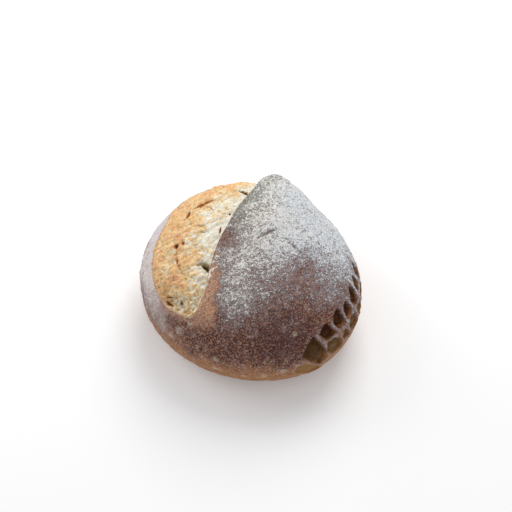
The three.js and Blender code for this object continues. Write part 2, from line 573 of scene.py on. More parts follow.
@dataclass(frozen=True)
class Crumb:
    """The lens of open crumb that the slash laid bare, with its strands and pores.

    Attributes:
        width: Width of the lens in degrees of turn.
        back_widening: How much wider it is towards the back, as a share.
        power: Squareness of its outline.
        front: Reach of its front end.
        corner: Rounding where its outline meets the slash's line, in millimetres.
        tears: Its tears, holes, creases and ridges.
        toasted: Patches that are more or less toasted; the last one is a painted highlight.
        pores: Its small pores.
        pore_shade: How dark a pore is painted for each millimetre of its depth, as painted
            shade.
        outside: Greatest distance told outside the lens, in millimetres.
        inside: Greatest distance told inside it.
    """

    width: float = 44.0
    back_widening: float = 0.22
    power: float = 3.1
    front: float = -53.4
    corner: float = 4.8
    tears: tuple[Tear, ...] = (
        Tear(((-21.6, -22.0), (-20.2, -20.4), (-18.0, -20.2), (-15.8, -21.8)), 3.2, 2.2, 0.42),
        Tear(((-19.4, -21.4), (-17.2, -22.2), (-14.6, -24.2)), 1.9, 4.0, 1.0),
        Tear(((-33.4, -12.0), (-31.8, -13.6)), 2.2, 2.6, 0.55),
        Tear(((-36.8, -14.4), (-35.0, -16.0)), 2.3, 2.6, 0.9),
        Tear(((-25.6, -45.4), (-24.6, -46.4)), 1.9, 2.4, 0.7),
        Tear(((-41.8, 7.8), (-40.8, 5.0), (-39.6, 2.8)), 1.9, 2.2, 0.7),
        Tear(((-40.6, 10.4), (-38.6, 13.4), (-35.6, 17.2), (-31.6, 19.6)), 2.5, 2.4, 0.5),
        Tear(((-36.8, 12.4), (-31.0, 13.6), (-27.0, 11.0)), 1.5, 1.2, 0.35),
        Tear(((-42.0, 25.0), (-36.5, 27.6), (-31.6, 25.4)), 1.1, 1.5, 0.45),
        Tear(((-29.4, -1.4), (-25.0, 1.4)), 1.2, 1.3, 0.35),
        Tear(((-28.6, -6.4), (-24.2, -2.0)), 1.1, 1.2, 0.35),
        Tear(((-40.0, -44.2), (-36.0, -44.0), (-32.0, -43.4)), 0.8, 1.4, 0.6),
        Tear(((-42.5, -46.6), (-38.0, -48.2), (-33.0, -48.8)), 1.2, 1.8, 0.8),
        Tear(((-35.6, -15.9), (-34.6, -18.5), (-33.8, -20.0)), 1.3, 0.9, 0.3),
        Tear(((-34.0, -20.5), (-32.0, -25.0), (-27.5, -29.0), (-22.8, -30.2)), 1.7, 1.0, 0.22),
        Tear(((-33.2, -22.2), (-32.0, -24.6)), 1.3, 1.2, 0.5),
        Tear(((-31.4, -20.5), (-28.8, -25.2), (-24.0, -27.4)), 2.4, -0.8),
        Tear(((-18.4, -29.8), (-16.0, -27.4), (-12.5, -25.4)), 1.4, -1.9),
        Tear(((-24.0, -26.5), (-19.5, -25.8), (-16.5, -25.0)), 2.2, 0.9),
        Tear(((-28.0, 4.0), (-22.5, 8.0), (-17.5, 9.0)), 1.1, -0.9),
        Tear(((-26.4, 33.4), (-24.0, 32.4), (-21.6, 31.6)), 2.6, 2.4, 0.9, 0.5),
        Tear(((-21.0, 13.0), (-20.4, 11.8)), 1.0, 1.2, 0.5, 0.9),
        Tear(((-20.6, 2.8), (-19.6, -1.6)), 0.9, 1.2, 0.5, 1.0),
    )
    toasted: tuple[Patch, ...] = (
        Patch((-56.0, -15.0, 92.0), 14.0, 0.5),
        Patch((-40.0, 30.0, 93.0), 9.0, 0.2),
        Patch((-72.0, 30.0, 85.0), 17.0, -0.05),
        Patch((-32.0, 20.0, 96.0), 11.0, -0.3),
        # A pale spot that stands for a highlight: painted light, not less toasting.
        Patch((-75.0, -6.0, 87.0), 5.0, -0.5),
    )
    pores: Speckles = Speckles(170, 11, (0.6, 1.4), (0.4, 1.2), -1.0)
    pore_shade: float = 0.35
    outside: float = 40.0
    inside: float = 60.0

    def inset(self, slash: Slash, turn: Array, reach: Array) -> Array:
        """Distance inside the lens's outer border, in millimetres.

        Args:
            slash: The slash.
            turn: Turn in degrees.
            reach: Reach in degrees.

        Returns:
            One distance for each vertex, less than 0 outside the lens.
        """
        end = np.where(reach < 0.0, -self.front, slash.back)
        onward = np.abs(reach) / end
        spread = slash.edge(reach) - turn
        aside = np.clip(spread, 0.0, None) / self.width
        aside /= 1.0 + self.back_widening * fade((reach + 4.0) / 20.0)
        level = (onward**self.power + aside**self.power) ** (1.0 / self.power) + 1e-6
        slope = np.hypot((aside / level) ** (self.power - 1.0) / self.width,
                         (onward / level) ** (self.power - 1.0) / end)
        rim = np.clip((1.0 - level) / (slope + 1e-4) * ARC, -self.outside, self.inside)
        side = np.clip(spread * ARC * np.cos(np.radians(reach)), -self.outside, self.inside)
        side += 30.0 * fade((reach + 40.0) / 12.0)
        lowest = np.minimum(rim, side)
        apart = np.abs(rim - side) / self.corner
        return lowest - self.corner * np.log1p(np.exp(-apart))

    def lip_fold(self, reach: Array) -> Array:
        """Place across the fold where the crust, wrapped over the ear's edge, ends."""
        return 0.98 - 0.5 * fade((reach + 30.0) / 26.0)

    def shape(self, skin: Skin, shape: BakedShape) -> None:
        """Sink and roughen the crumb, and mark it with its toasting and the painted shade in its
        hollows.

        Args:
            skin: The skin, whose relief and marks are added to.
            shape: The smooth loaf.
        """
        slash = shape.slash
        spot = skin.points
        ragged = Grain(3)(spot, 6.0, 2) * 0.8
        inset = self.inset(slash, skin.turn, skin.reach) + ragged
        under = fade((self.lip_fold(skin.reach) - skin.folds + 0.07 * ragged) / 0.12)
        bare = fade((inset + 0.4) / 0.9) * under
        lumps = self._lumps(spot)
        skin.marks["crumb"] = bare
        skin.marks["inset"] = inset
        skin.relief += bare * (lumps - self._recess(skin, inset))
        front = fade((-36.0 - skin.reach) / 10.0)
        # Painted shade on the crumb's front, which faces away from the light.
        skin.marks["shaded"] = fade((-32.0 - skin.reach) / 14.0)
        lip = bell(inset + 0.2, 0.55) * (skin.folds < 0.0)
        lip *= 0.6 + 0.6 * Grain(27)(spot, 6.0, 2)
        skin.relief += lip * (0.3 + 0.7 * front)
        skin.marks["lip"] = np.clip(lip * front, 0.0, 1.0)
        # Tears and pores are darkened by their depth: painted shade in the crumb's hollows.
        torn = carve(self.tears, skin, shape, bare)
        open_crumb = (bare > 0.9) & (skin.folds < -0.5)
        pitted = self.pore_shade * self.pores.scatter(skin, open_crumb, bare)
        skin.marks["hollow"] = np.maximum(torn, pitted)
        skin.marks["toast"] = self._toast(skin, slash, lumps)

    def _recess(self, skin: Skin, inset: Array) -> Array:
        """Depth of the crumb below the crust beside it."""
        front = fade((-30.0 - skin.reach) / 14.0)
        return fade(inset / 2.5) * (0.7 + 1.3 * front) * (1.0 - 0.6 * fade((inset - 6.0) / 14.0))

    def _lumps(self, spot: Array) -> Array:
        """Height of the crumb's lumps, strands and creases.

        Args:
            spot: Places in millimetres, one row each.

        Returns:
            Heights in millimetres.
        """
        warp = 2.4 * Grain(26)(spot, 14.0)
        strands = combed(spot, STRAND_AZIMUTH, 4.0)
        strands[:, :2] += warp[:, None]
        lumps = 1.2 * Grain(21)(spot, 15.0, 2) + 1.05 * Grain(22)(strands, 3.6, 2)
        creases = (1.0 - np.abs(Grain(23)(strands * [1.6, 1.0, 1.0], 6.0))) ** 8
        curls = (1.0 - np.abs(Grain(24)(spot + warp[:, None], 6.5))) ** 8
        return lumps - 1.4 * creases - 1.1 * curls + 0.6 * Grain(25)(spot, 2.6)

    def _toast(self, skin: Skin, slash: Slash, lumps: Array) -> Array:
        """Browning of the crumb: pale where it opened last, by the ear.

        Args:
            skin: The skin.
            slash: The slash.
            lumps: Heights of the crumb's lumps in millimetres.

        Returns:
            Browning from a little under 0, for cream, to 1.
        """
        spread = slash.edge(skin.reach) - skin.turn
        away = fade((spread - 8.0) / 28.0)
        # Browner towards the front: partly toasting and partly painted shade on the crumb's
        # front.
        front = fade((-14.0 - skin.reach) / 24.0)
        patches = 0.34 * Grain(31)(skin.points, 12.0, 2)
        raised = 0.15 * np.clip(lumps, -1.6, 1.6)
        toast = 0.5 * fade(spread / 19.0) - 0.24 + 0.54 * away + 0.5 * front * (1.0 - away)
        for patch in self.toasted:
            toast += patch.over(skin.points)
        return np.clip(toast + patches + raised, -0.3, 1.0)


@dataclass(frozen=True)
class Cut:
    """One snip of the wheat stalk, opened in the oven.

    Attributes:
        corners: Azimuth and elevation of its corners, going round it.
        depth: Depth in millimetres.
        bulge: Share of the depth that the crumb inside has swollen back.
        pale: How far its crumb is from dark brown towards tan, from 0 to about 1.
        amber: How amber its lower edge is, from 0 to 1: partly less baked crumb and partly
            painted light on the wall that faces the light.
    """

    SOFTNESS = 0.5  # rounding between the sides of the outline, in millimetres
    FAR = 30.0  # distance that counts as far from a side, in millimetres
    SLAB = 16.0  # how far a cut reaches out of its plane, in millimetres

    corners: tuple[tuple[float, float], ...]
    depth: float = 3.6
    bulge: float = 0.4
    pale: float = 0.0
    amber: float = 1.0

    def stops(self, shape: BakedShape) -> Array:
        """Places of its corners on the smooth loaf, one row each."""
        return shape.points(np.array([compass(*corner) for corner in self.corners]))

    def drop(self, shape: BakedShape, points: Array) -> Array:
        """How low points lie in the cut: 0 at its top corner and 1 at its lowest."""
        heights = self.stops(shape)[:, 2]
        return (heights.max() - points[:, 2]) / (heights.max() - heights.min())

    def inset(self, shape: BakedShape, points: Array) -> Array:
        """Distance inside the cut's outline, in millimetres, far less than 0 elsewhere.

        Args:
            shape: The smooth loaf.
            points: Places in millimetres, one row each.

        Returns:
            One distance for each point.
        """
        stops = self.stops(shape)
        middle = stops.mean(axis=0)
        sides = stops - middle
        outward = unit(np.cross(sides, np.roll(sides, -1, axis=0)).sum(axis=0))
        outward *= np.sign(outward @ (middle - shape.dough.widest * UP))
        total = np.zeros(len(points))
        for start, end in zip(stops, np.roll(stops, -1, axis=0)):
            inward = unit(np.cross(outward, end - start))
            inward *= np.sign(inward @ (middle - start))
            edge = (points - start) @ inward
            total += np.exp(-np.clip(edge, -self.FAR, self.FAR) / self.SOFTNESS)
        inset = -self.SOFTNESS * np.log(total)
        return np.where(np.abs((points - middle) @ outward) < self.SLAB, inset, -self.FAR)


@dataclass(frozen=True)
class WheatStalk:
    """The stalk of wheat scored in the crust: an upper and a lower row of cuts.

    Attributes:
        cuts: The upper row, then the lower row.
        rim_height: Height of the crust pushed up round a cut, in millimetres.
        fine_margin: Width of crust round a cut that has fine cells too.
    """

    cuts: tuple[Cut, ...] = (
        Cut(((-2, 28.5), (-2, 21), (-4, 15), (-9, 18), (-9, 25)), 3.2),
        Cut(((-12, 31), (-12, 23), (-15.5, 17.5), (-18, 20), (-17, 27)), 3.4),
        Cut(((-19.5, 32), (-19.5, 21), (-23, 17), (-27, 20), (-27, 27), (-22.5, 32)), 3.8),
        Cut(((-30, 32.5), (-29, 24), (-32, 19), (-35.5, 20), (-34.5, 28.5)), 3.8, 0.3),
        Cut(((-36.5, 34), (-37, 21), (-42.5, 21.5), (-44, 27.5), (-41.5, 32.5)), 4.0, 0.4),
        Cut(((-47.5, 32.5), (-44, 20.5), (-51.5, 19), (-53.5, 28), (-51, 31)), 4.0, 0.35),
        Cut(((-57, 29.5), (-53, 14), (-52.5, 3), (-56, -5.5), (-65.5, 16), (-62, 24)), 3.6, 0.8,
            0.2),
        Cut(((-10, 15), (-9, 8), (-14, 5), (-18, 10), (-16, 17)), 2.6, 0.4, 0.35, 0.2),
        Cut(((-20, 13), (-20, 5), (-25, 6), (-27, 13), (-25.5, 18)), 2.8, 0.5, 0.45, 0.2),
        Cut(((-28.5, 17), (-28, 4), (-34, 5), (-36, 14), (-33.5, 19.5)), 3.0, 0.6, 0.45, 0.2),
        Cut(((-37.5, 14), (-37.5, 7), (-41, 6), (-42.5, 12), (-40, 17)), 2.4, 0.5, 0.5, 0.2),
        Cut(((-47, 19), (-43, 12), (-43, 3), (-48.5, -1), (-52.5, 10), (-51.5, 18.5)), 3.0, 0.7,
            0.5, 0.3),
        Cut(((-63, 6.5), (-57, -6), (-55, -14), (-61, -16), (-69, -3), (-68, 8)), 1.2, 0.7, 1.1,
            0.0),
    )
    rim_height: float = 0.7
    fine_margin: float = 3.5

    def shape(self, skin: Skin, shape: BakedShape) -> None:
        """Sink every cut, lift the crust round it and mark what lies bare.

        Args:
            skin: The skin, whose relief and marks are added to.
            shape: The smooth loaf.
        """
        count = len(skin.points)
        inside, pale, amber = np.zeros(count), np.zeros(count), np.zeros(count)
        floor, rims = np.zeros(count), np.zeros((len(self.cuts), count))
        rough = Grain(41)(skin.points, 5.0, 3) * 0.5
        ragged = Grain(42)(skin.points, 3.0, 2) * 0.35
        for number, cut in enumerate(self.cuts):
            inset = cut.inset(shape, skin.points) + ragged
            half = max(inset.max(), 1.0)
            drop = cut.drop(shape, skin.points)
            wall = fade((inset + 0.1) / 1.2)
            swollen = cut.bulge * fade((inset - 0.7) / half)
            floor = np.maximum(floor, wall * (cut.depth * (1.0 - swollen) - rough))
            rims[number] = bell(inset + 1.3, 1.9)
            bare = fade((inset + 0.2) / 0.6)
            pale = np.where(bare > inside, cut.pale + 0.35 * fade(drop - 0.35), pale)
            inside = np.maximum(inside, bare)
            # The amber lower edge is partly less baked crumb and partly painted light on the lit
            # wall.
            edge = cut.amber * fade((drop - 0.3) / 0.5)
            amber = np.maximum(amber, edge * bell(inset - 0.3, 0.8))
        rims = np.sort(rims, axis=0)
        skin.relief += self.rim_height * rims[-1] * (1.0 - inside) - floor
        high = 0.3 + 0.7 * fade((skin.points[:, 2] - 46.0) / 18.0)
        skin.marks["strip"] = np.clip(1.7 * rims[-2], 0.0, 1.0) * (1.0 - inside) * high
        skin.marks["cut"] = inside
        skin.marks["cut_pale"] = pale
        skin.marks["cut_amber_lit_edge"] = amber

    def near(self, shape: BakedShape, points: Array) -> Array:
        """Whether points lie in or close beside a cut."""
        insets = [cut.inset(shape, points) for cut in self.cuts]
        return np.max(insets, axis=0) > -self.fine_margin


@dataclass(frozen=True)
class CrustSkin:
    """The crust's own relief, blisters and wrinkles, and its flour and baking.

    Attributes:
        blisters: Its small blisters.
        palest_blister: Height of a blister that is wholly pale, in millimetres.
        blotch_height: Height of the large pale blisters.
        bare_below: Height under which hardly any flour lies.
        heap_elevation: Elevation, over +Y, of the side where flour lies thickest.
        scorched: The darkest patch of the crust.
        patches: Patches with more or less flour.
        wrinkles: Its wrinkles and ridges.
        blotches: Turn, reach and width of each large blister.
    """

    blisters: Speckles = Speckles(900, 53, (0.7, 2.2), (0.1, 0.42), 1.0)
    palest_blister: float = 0.45
    blotch_height: float = 0.5
    bare_below: float = 36.0
    heap_elevation: float = 35.0
    scorched: Patch = Patch((27.0, -90.0, 76.0), 27.0, 0.7)
    patches: tuple[Patch, ...] = (
        Patch((46.0, -32.0, 97.0), 15.0, -0.3),
        Patch((55.0, -15.0, 97.0), 18.0, -0.15),
        Patch((-14.0, -72.0, 84.0), 15.0, 0.25),
        Patch((-24.0, -8.0, 108.0), 18.0, -0.34),
        Patch((-24.0, -54.0, 94.0), 15.0, 0.18),
        Patch((-10.0, -62.0, 92.0), 16.0, 0.2),
        Patch((68.0, -56.0, 84.0), 15.0, 0.12),
    )
    wrinkles: tuple[Tear, ...] = (
        Tear(((4.6, -0.6), (7.4, 4.6), (11.0, 9.8)), 1.4, 1.2, 0.75),
        Tear(((3.8, 1.0), (6.6, 6.2), (10.2, 11.4)), 1.4, -0.9),
        Tear(((15.6, 6.6), (20.0, 5.4), (25.0, 4.2)), 1.1, 0.9, 0.7),
        Tear(((15.2, 8.4), (19.8, 7.4), (24.6, 6.2)), 1.1, -0.7),
        Tear(((-2.0, 13.0), (0.6, 16.0), (4.0, 17.0)), 1.2, 0.7, 0.35),
        Tear(((8.0, -8.0), (9.6, -5.0)), 0.9, 0.6, 0.35),
        Tear(((-7.8, -13.0), (-7.5, -19.0), (-7.8, -25.0)), 0.9, 0.3, 0.9, 0.8),
        Tear(((-8.4, 30.0), (-7.4, 36.0), (-6.4, 43.0)), 5.0, -1.6),
        Tear(((-5.4, 47.0), (-1.4, 52.0), (3.0, 54.5)), 4.5, -1.6),
    )
    blotches: tuple[tuple[float, float, float], ...] = (
        (-31.5, -64.0, 4.2), (-15.6, -57.2, 2.8), (-56.7, -68.7, 3.2), (36.2, -75.4, 2.8),
        (111.4, -81.0, 3.2), (84.2, -48.6, 3.2), (94.3, -57.6, 3.0), (80.9, -41.1, 3.6),
        (47.6, -31.8, 2.4),
    )

    def shape(self, skin: Skin, shape: BakedShape) -> None:
        """Roughen the crust, and mark its flour, baking and wrinkles, the painted shade on the
        ear's lip and the painted sky tint on the flanks.

        Args:
            skin: The skin, whose relief and marks are added to.
            shape: The smooth loaf.
        """
        bare = (1.0 - skin.marks["crumb"]) * (1.0 - skin.marks["cut"])
        spot = skin.points
        x, _, z = spot.T
        standing = bare * fade(z / 10.0)
        swell = 0.7 * Grain(51)(spot, 34.0) + 0.32 * Grain(52)(spot, 8.0, 2)
        grit = 0.2 * Grain(54)(spot, 2.6, 2)
        skin.relief += standing * (swell + 0.14 * self._weave(spot) + grit)
        upper = (standing > 0.9) & (z > 18.0)
        raised = self.blisters.scatter(skin, upper, standing)
        skin.marks["blister"] = raised / self.palest_blister
        dark = carve(self.wrinkles, skin, shape)
        skin.marks["blotch"] = self._blotch(skin, shape)
        margin = self._margin(skin, shape.slash)
        skin.marks["margin"] = margin
        uncovered = (1.0 - 0.8 * margin) * (1.0 - 0.7 * dark)
        skin.marks["flour"] = self._flour(skin) * bare * uncovered
        high = 0.4 + 0.6 * fade((z - 40.0) / 35.0)
        skin.marks["soaked"] = fade((-56.0 - x) / 22.0) * high
        # Painted shade on the ear's rounded lip: this mark greys its crust and its flour.
        ear = bell(skin.folds - 1.0, 3.0) * fade((skin.reach + 9.0) / 20.0)
        skin.marks["ear"] = ear * (1.0 - skin.marks["crumb"])
        skin.marks["bake"] = self._bake(skin)
        skin.marks["sky_tint"] = self._sky_tint(skin)

    def _weave(self, spot: Array) -> Array:
        """Streaks that the floured proofing cloth leaves, at places on the crust."""
        return Grain(55)(combed(spot, CLOTH_AZIMUTH, 4.5) * [1.0, 1.0, 0.6], 4.2, 2)

    def _blotch(self, skin: Skin, shape: BakedShape) -> Array:
        """Raise the large pale blisters, and return where they are.

        Args:
            skin: The skin, whose relief and marks are added to.
            shape: The smooth loaf.

        Returns:
            How close each vertex is to one, from 0 to 1.
        """
        pale = np.zeros(len(skin.points))
        for turn, reach, width in self.blotches:
            near = Tear(((turn, reach),), width, 0.0).nearness(shape, skin.points)
            skin.relief += self.blotch_height * near
            pale = np.maximum(pale, near)
        return pale

    def _margin(self, skin: Skin, slash: Slash) -> Array:
        """The flourless strip of crust beside the front of the slash.

        Args:
            skin: The skin.
            slash: The slash.

        Returns:
            How bare each vertex is, from 0 to 1.
        """
        level = np.cos(np.radians(skin.reach))
        across = (skin.turn - slash.edge(skin.reach)) * ARC * level
        width = 1.5 + 9.5 * fade((-9.0 - skin.reach) / 28.0)
        ragged = 4.5 * Grain(56)(skin.points, 11.0, 4)
        strip = (1.0 - fade((across - width + ragged) / 9.0)) * (across > -1.0)
        strip *= fade((-5.0 - skin.reach) / 10.0) * fade((60.0 + skin.reach) / 14.0)
        front = 1.0 - fade((-skin.marks["inset"] - 2.0 + ragged) / 9.0)
        front *= 0.75 * fade((-38.0 - skin.reach) / 12.0)
        return np.maximum(strip, front)

    def _flour(self, skin: Skin) -> Array:
        """Cover of flour, thick towards the back of the crown and gone above the foot.

        Args:
            skin: The skin.

        Returns:
            Cover from 0 to 1.
        """
        x, _, z = skin.points.T
        heap = skin.points @ compass(90.0, self.heap_elevation)
        cover = fade((heap + 34.0) / 104.0) + 0.45 * fade((-x - 58.0) / 30.0) * (z > 30.0)
        # Less flour on the ear's lip, which also paints shade there.
        lip = bell(skin.folds - 1.0, 2.4) * fade((skin.reach + 18.0) / 16.0)
        lip_shade = 0.2 + 0.28 * fade((42.0 - skin.reach) / 24.0)
        cover = np.minimum(cover, 1.0) - lip_shade * lip
        for patch in self.patches:
            cover += patch.over(skin.points)
        cover += 0.1 * Grain(57)(skin.points, 26.0, 2) + 0.1 * self._weave(skin.points)
        cover += 0.1 * Grain(58)(skin.points, 7.0, 2) + 0.45 * skin.marks["strip"]
        ragged = 9.0 * Grain(59)(skin.points, 30.0, 3) + 4.0 * Grain(62)(skin.points, 7.0, 2)
        return np.clip(cover, 0.0, 1.0) * fade((z - self.bare_below + ragged) / 28.0)

    def _bake(self, skin: Skin) -> Array:
        """Darkness of the crust: high above, at the scorched front and by the foot, where it is
        partly the crust's own baking and partly painted shade on the low flanks.

        Args:
            skin: The skin.

        Returns:
            Darkness from 0, for golden, to a little over 1.
        """
        x, _, z = skin.points.T
        height = z + 9.0 * Grain(60)(skin.points, 22.0, 3) + 6.0 * fade(-x / 40.0)
        # Darker by the foot: partly the crust's own baking, partly painted shade on the low
        # flanks.
        dark = fade((height - 34.0) / 40.0) + 0.5 * fade((28.0 - height) / 30.0)
        return dark + self.scorched.over(skin.points)

    def _sky_tint(self, skin: Skin) -> Array:
        """Painted sky light: the flour is tinted blue on both flanks, where the blue light
        falls, and warmer between them.

        Args:
            skin: The skin.

        Returns:
            Strength of the painted blue tint, from 0 to 1.
        """
        x, y, _ = skin.points.T
        drift = 0.3 * Grain(61)(skin.points, 24.0, 2)
        left = fade((-x - 60.0) / 25.0) * fade((y + 10.0) / 40.0)
        return np.clip(np.maximum(fade((x + 6.0) / 70.0), left) + drift, 0.0, 1.0)


def linear(red: int, green: int, blue: int) -> tuple[float, float, float]:
    """Linear colour from display values of 0 to 255.

    Args:
        red: Red.
        green: Green.
        blue: Blue.

    Returns:
        Linear red, green and blue.
    """
    def channel(value: int) -> float:
        """Linear value of one channel."""
        share = value / 255.0
        return share / 12.92 if share <= 0.04045 else ((share + 0.055) / 1.055) ** 2.4
    return channel(red), channel(green), channel(blue)


class Bake(Enum):
    """Colours of the loaf's bare surfaces and of the flour on it; a few stand for painted shade,
    painted light and a painted sky tint.
    """

    CREAM = linear(255, 252, 238)
    GOLD = linear(250, 206, 128)
    TOAST = linear(242, 176, 130)
    SCORCH = linear(160, 92, 42)
    # Olive tone of painted shade on the crumb.
    OLIVE_SHADE = linear(140, 116, 72)
    # Near black at the bottom of deep pores: painted shade.
    PIT_SHADE = linear(60, 34, 16)
    RUST = linear(120, 34, 16)
    TAN = linear(160, 110, 64)
    BROWN = linear(134, 92, 70)
    PLUM = linear(79, 49, 48)
    EMBER = linear(192, 132, 98)
    BLISTER = linear(214, 188, 164)
    BLOTCH = linear(216, 200, 182)
    # Grey of painted shade on the crust of the ear's lip.
    SHADED_EAR = linear(98, 97, 86)
    LAVENDER = linear(150, 132, 138)
    MARGIN = linear(230, 166, 126)
    DAMP_FLOUR = linear(162, 150, 155)
    # Grey of painted shade on the flour of the ear's lip.
    SHADED_EAR_FLOUR = linear(172, 172, 161)
    SOAKED_FLOUR = linear(212, 187, 181)
    FLOUR = linear(247, 244, 236)
    # Blue-white of flour under painted sky light.
    SKY_TINTED_FLOUR = linear(235, 241, 245)
    STRIP = linear(172, 154, 154)
    CUT = linear(64, 29, 4)
    CUT_PALE = linear(140, 105, 56)
    # Amber of a cut's lower edge: partly less baked crumb, partly painted light.
    CUT_AMBER_LIT = linear(200, 128, 66)


class Value:
    """One number output of a node, on which Python operators add Math nodes."""

    def __init__(self, maker: "NodeMaker", socket: bpy.types.NodeSocket) -> None:
        """Wrap a socket of a maker's tree."""
        self.maker = maker
        self.socket = socket

    def _math(self, operation: str, *operands: Any, clamp: bool = False) -> "Value":
        """Add a Math node on the given operands.

        Args:
            operation: The node's operation.
            operands: Values or numbers.
            clamp: Whether the result is held between 0 and 1.

        Returns:
            The result.
        """
        values = dict(enumerate(operands))
        settings = {"operation": operation, "use_clamp": clamp}
        return self.maker.node("ShaderNodeMath", settings, values)

    def __add__(self, other: Any) -> "Value":
        """Sum."""
        return self._math("ADD", self, other)

    __radd__ = __add__

    def __sub__(self, other: Any) -> "Value":
        """Difference."""
        return self._math("SUBTRACT", self, other)

    def __rsub__(self, other: Any) -> "Value":
        """Difference from a number."""
        return self._math("SUBTRACT", other, self)

    def __mul__(self, other: Any) -> "Value":
        """Product."""
        return self._math("MULTIPLY", self, other)

    __rmul__ = __mul__

    def clamped(self) -> "Value":
        """The value held between 0 and 1."""
        return self._math("ADD", self, 0.0, clamp=True)

    def step(self, low: Any, high: Any) -> "Value":
        """Ease from 0 to 1 as the value goes from low to high.

        Args:
            low: Value or number that gives 0.
            high: Value or number that gives 1.

        Returns:
            The eased value.
        """
        settings = {"interpolation_type": "SMOOTHSTEP"}
        inputs = {"Value": self, "From Min": low, "From Max": high}
        return self.maker.node("ShaderNodeMapRange", settings, inputs)


class NodeMaker:
    """Builds one material's node tree."""

    def __init__(self, name: str) -> None:
        """Start an empty material.

        Args:
            name: Name of the material.
        """
        self.material = bpy.data.materials.new(name)
        self.material.use_nodes = True
        self.tree = self.material.node_tree
        self.tree.nodes.clear()
        self.place = self.node("ShaderNodeTexCoord", {}, {}, "Object")

    def node(self, kind: str, settings: dict[str, Any], inputs: dict[Any, Any],
             output: Any = 0) -> Value:
        """Add a node.

        Args:
            kind: Type of the node.
            settings: Its properties, set before its sockets.
            inputs: Values or links of its sockets, by name or number.
            output: Name or number of the output to return.

        Returns:
            The chosen output.
        """
        node = self.tree.nodes.new(kind)
        for name, setting in settings.items():
            setattr(node, name, setting)
        for name, value in inputs.items():
            if isinstance(value, Value):
                self.tree.links.new(value.socket, node.inputs[name])
            else:
                node.inputs[name].default_value = value
        return Value(self, node.outputs[output])

    def mark(self, name: str) -> Value:
        """Read a mark that the mesh carries on its vertices."""
        return self.node("ShaderNodeAttribute", {"attribute_name": name}, {}, "Fac")

    def noise(self, size: float, detail: float = 2.0, roughness: float = 0.5,
              place: Value | None = None) -> Value:
        """Noise from 0 to 1 whose lumps are about size millimetres wide.

        Args:
            size: Width of the largest lumps, in millimetres.
            detail: Number of finer layers.
            roughness: Strength of each layer, as a share of the one before.
            place: Coordinates, or none for the loaf's own.

        Returns:
            The noise.
        """
        inputs = {"Vector": place or self.place, "Scale": 1.0 / (size * MM),
                  "Detail": detail, "Roughness": roughness}
        return self.node("ShaderNodeTexNoise", {}, inputs, "Fac")

    def combed(self, azimuth: float, stretch: float) -> Value:
        """Coordinates stretched along a level direction, for streaks.

        Args:
            azimuth: Azimuth of the streaks, in degrees.
            stretch: How many times as long as wide they are.

        Returns:
            The coordinates.
        """
        inputs = {"Vector": self.place, "Rotation": (0.0, 0.0, math.radians(azimuth)),
                  "Scale": (stretch, 1.0, 1.0)}
        return self.node("ShaderNodeMapping", {"vector_type": "TEXTURE"}, inputs)

    def mix(self, share: Any, first: Value | Bake, second: Value | Bake) -> Value:
        """Mix two colours.

        Args:
            share: Share of the second colour, from 0 to 1.
            first: Colour at a share of 0.
            second: Colour at a share of 1.

        Returns:
            The mixed colour.
        """
        settings = {"data_type": "RGBA", "clamp_factor": True}
        low, high = ((*colour.value, 1.0) if isinstance(colour, Bake) else colour
                     for colour in (first, second))
        return self.node("ShaderNodeMix", settings, {0: share, 6: low, 7: high}, 2)

    def bump(self, height: Value, distance: float, strength: float) -> Value:
        """Bump from a height of 0 to 1 that stands for distance millimetres."""
        inputs = {"Height": height, "Distance": distance * MM, "Strength": strength}
        return self.node("ShaderNodeBump", {}, inputs)

    def surface(self, inputs: dict[str, Any]) -> bpy.types.Material:
        """Finish the material with a Principled surface.

        Args:
            inputs: Values or links of the surface's sockets, by name.

        Returns:
            The finished material.
        """
        shader = self.node("ShaderNodeBsdfPrincipled", {}, inputs)
        output = self.tree.nodes.new("ShaderNodeOutputMaterial")
        self.tree.links.new(shader.socket, output.inputs["Surface"])
        return self.material


@dataclass(frozen=True)
class CrumbFinish:
    """Torn crumb, cream where it is youngest and toasted towards its border.

    Attributes:
        grain: Width of its finest grain, in millimetres.
    """

    grain: float = 1.2

    def colour(self, maker: NodeMaker) -> Value:
        """Colour of the crumb.

        Args:
            maker: Maker of the material's nodes.

        Returns:
            The colour.
        """
        strands = maker.noise(1.5, 3.0, 0.6, maker.combed(STRAND_AZIMUTH, 3.2))
        veins = maker.noise(3.4, 3.0, 0.6)
        fine = maker.noise(self.grain, 2.0, 0.6)
        toast = maker.mark("toast") + (veins - 0.5) * 2.0 + (strands - 0.5) * 2.0
        toast = toast + (fine - 0.5) * 1.7
        pale = maker.mix(toast.step(-0.1, 0.62), Bake.CREAM, Bake.GOLD)
        brown = maker.mix(toast.step(0.5, 1.15), pale, Bake.TOAST)
        flecks = maker.noise(1.1, 3.0, 0.7).step(0.53, 0.61)
        brown = maker.mix(flecks * 0.5, brown, Bake.CREAM)
        rim = maker.mark("inset").step(2.2, 0.0) * (1.0 - maker.mark("lip"))
        edged = maker.mix(rim * 0.3, brown, Bake.SCORCH)
        # Painted shade: the crumb's front is dulled towards olive.
        edged = maker.mix(maker.mark("shaded") * veins.step(0.3, 0.6) * 0.4, edged, Bake.OLIVE_SHADE)
        # Painted shade: the crumb's hollows turn olive or scorched brown, then near black where
        # deepest.
        hollow = maker.mark("hollow")
        hollow_shade_tone = maker.mix(maker.mark("toast").step(0.3, 0.6), Bake.OLIVE_SHADE, Bake.SCORCH)
        hollow_shaded = maker.mix(hollow.step(0.08, 0.5), edged, hollow_shade_tone)
        return maker.mix(hollow.step(0.55, 0.9), hollow_shaded, Bake.PIT_SHADE)

    def height(self, maker: NodeMaker) -> Value:
        """Fine height of the crumb."""
        strands = maker.noise(1.6, 3.0, 0.6, maker.combed(STRAND_AZIMUTH, 3.0))
        return maker.noise(self.grain, 3.0, 0.7) * 0.6 + strands * 0.6


